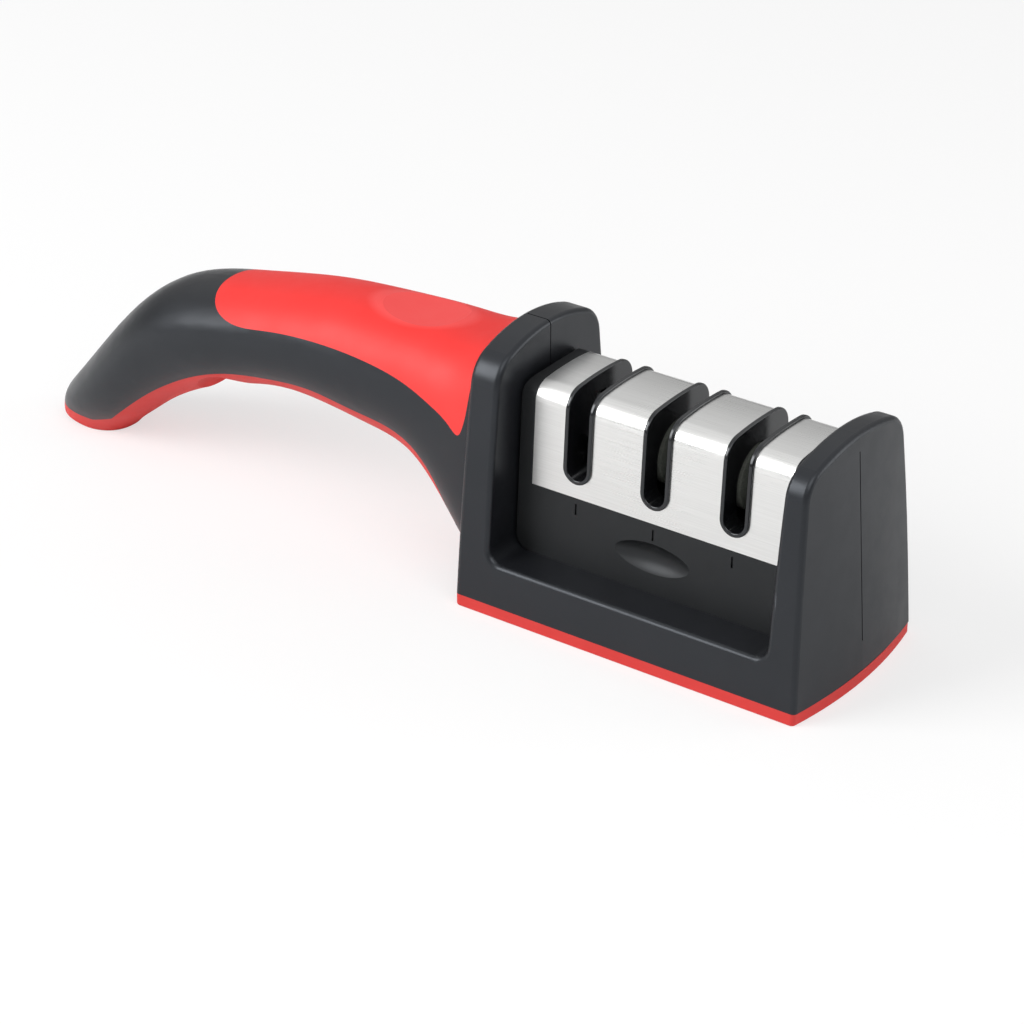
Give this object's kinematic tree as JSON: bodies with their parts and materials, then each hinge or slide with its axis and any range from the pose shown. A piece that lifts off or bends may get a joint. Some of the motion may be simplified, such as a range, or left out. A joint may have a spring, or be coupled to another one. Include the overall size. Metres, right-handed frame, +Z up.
{
  "type": "pull-through knife sharpener",
  "caption": "Pull-through knife sharpener with an arched handle, a base between two posts and a lift-out cartridge whose slots hold carbide blades and grit wheels.",
  "frame": {"origin": "middle of the flat underside of the base, on the plane where the halves of the housing meet", "axes": "+X points to the nose, the handle runs towards -X, the front is -Y, +Z is up"},
  "size_m": [0.2256, 0.0484, 0.0624],
  "materials": {
    "housing_black": "fine matte moulding texture, blue-grey black",
    "cartridge_black": "matte black moulding",
    "inner_black": "plain black moulding",
    "liner_black": "glossy black moulding",
    "grip_red": "soft-touch coral red",
    "underside_red": "soft matte red",
    "cover_steel": "brushed along its length",
    "carbide": "ground",
    "screw_steel": "zinc plated",
    "axle_steel": "ground",
    "medium_grit": "bonded grit, grey-green",
    "fine_grit": "fine bonded grit, grey-green"
  },
  "bodies": {
    "housing": {"housing_front_shell": "housing_black", "housing_rear_shell": "housing_black", "handle_top_grip": "grip_red", "handle_underside_grip": "underside_red", "nonslip_sole": "underside_red", "base_plate": "inner_black", "base_screws": "screw_steel", "shell_screws": "screw_steel"},
    "cartridge": {"cartridge_body": "cartridge_black", "cartridge_cover": "cover_steel", "slot_liner_coarse": "liner_black", "slot_liner_medium": "liner_black", "slot_liner_fine": "liner_black", "cartridge_bottom_plate": "inner_black", "cartridge_screws": "screw_steel", "carbide_blade_front": "carbide", "carbide_blade_rear": "carbide", "blade_holder": "inner_black", "blade_screws": "screw_steel", "medium_wheel_axle": "axle_steel", "fine_wheel_axle": "axle_steel"},
    "medium_wheels": {"medium_wheel_left": "medium_grit", "medium_wheel_right": "medium_grit", "medium_wheel_sleeve": "inner_black"},
    "fine_wheels": {"fine_wheel_left": "fine_grit", "fine_wheel_right": "fine_grit", "fine_wheel_sleeve": "inner_black"}
  },
  "joints": [
    {"name": "cartridge_lift", "type": "slide", "parent": "housing", "child": "cartridge", "axis": [0, 0, 1], "range_m": [0, 0.058]},
    {"name": "medium_spin", "type": "hinge", "parent": "cartridge", "child": "medium_wheels", "pos_m": [0.0002, 0, 0.0408], "axis": [1, 0, 0], "continuous": true},
    {"name": "fine_spin", "type": "hinge", "parent": "cartridge", "child": "fine_wheels", "pos_m": [0.0201, 0, 0.0408], "axis": [1, 0, 0], "continuous": true}
  ]
}
